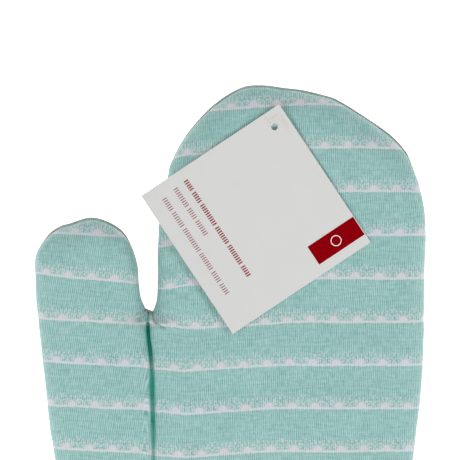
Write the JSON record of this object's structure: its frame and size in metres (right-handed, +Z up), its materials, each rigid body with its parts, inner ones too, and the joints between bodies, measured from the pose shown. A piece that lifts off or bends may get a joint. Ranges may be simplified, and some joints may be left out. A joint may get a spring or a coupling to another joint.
{
  "type": "oven mitt",
  "caption": "Padded cotton oven mitt with a separate thumb, lace-border stripes on mint cloth, a bound cuff, a hanging loop and a square swing tag.",
  "frame": {"origin": "on the flat underside of the mitt, half way between hem and fingertips, where it rests on a table", "axes": "+Z up out of the palm side, +Y from the cuff to the fingertips, +X across the hand away from the thumb"},
  "size_m": [0.2103, 0.364, 0.0323],
  "materials": {
    "printed_cotton": "matte",
    "wadding": "matte",
    "lining": "matte",
    "binding_tape": "matte",
    "tag_card": "matte",
    "clear_plastic": "satin"
  },
  "bodies": {
    "palm": {"front_shell_palm": "printed_cotton", "back_shell_palm": "printed_cotton", "front_wadding_palm": "wadding", "back_wadding_palm": "wadding", "front_lining_palm": "lining", "back_lining_palm": "lining", "hem_binding": "binding_tape"},
    "fingers": {"front_shell_fingers": "printed_cotton", "back_shell_fingers": "printed_cotton", "front_wadding_fingers": "wadding", "back_wadding_fingers": "wadding", "front_lining_fingers": "lining", "back_lining_fingers": "lining", "tag_fastener_anchor": "clear_plastic"},
    "thumb": {"front_shell_thumb": "printed_cotton", "back_shell_thumb": "printed_cotton", "front_wadding_thumb": "wadding", "back_wadding_thumb": "wadding", "front_lining_thumb": "lining", "back_lining_thumb": "lining"},
    "loop": {"hanging_loop": "binding_tape"},
    "tag_pin": {"tag_fastener_head": "clear_plastic"},
    "tag": {"swing_tag": "tag_card"}
  },
  "joints": [
    {"name": "finger_curl", "type": "hinge", "parent": "palm", "child": "fingers", "pos_m": [0, 0.052, 0.03], "axis": [1, 0, 0], "range_deg": [0, 60], "stiffness_Nm_per_rad": 0.02},
    {"name": "thumb_pinch", "type": "hinge", "parent": "palm", "child": "thumb", "pos_m": [-0.0556, 0.036, 0.03], "axis": [0.4552, 0.8904, 0], "range_deg": [0, 55], "stiffness_Nm_per_rad": 0.01},
    {"name": "loop_swing", "type": "hinge", "parent": "palm", "child": "loop", "pos_m": [0.0835, -0.1563, 0.009], "axis": [0, 0, 1], "range_deg": [-55, 55]},
    {"name": "tag_lift", "type": "hinge", "parent": "fingers", "child": "tag_pin", "pos_m": [0.024, 0.146, 0.0304], "axis": [-1, 0, 0], "range_deg": [0, 30]},
    {"name": "tag_swing", "type": "hinge", "parent": "tag_pin", "child": "tag", "pos_m": [0.024, 0.134, 0.0307], "axis": [0, 0, 1], "range_deg": [-10, 50]}
  ],
  "couplings": [
    {"joint": "tag_lift", "follows": "finger_curl", "ratio": 0.5}
  ]
}
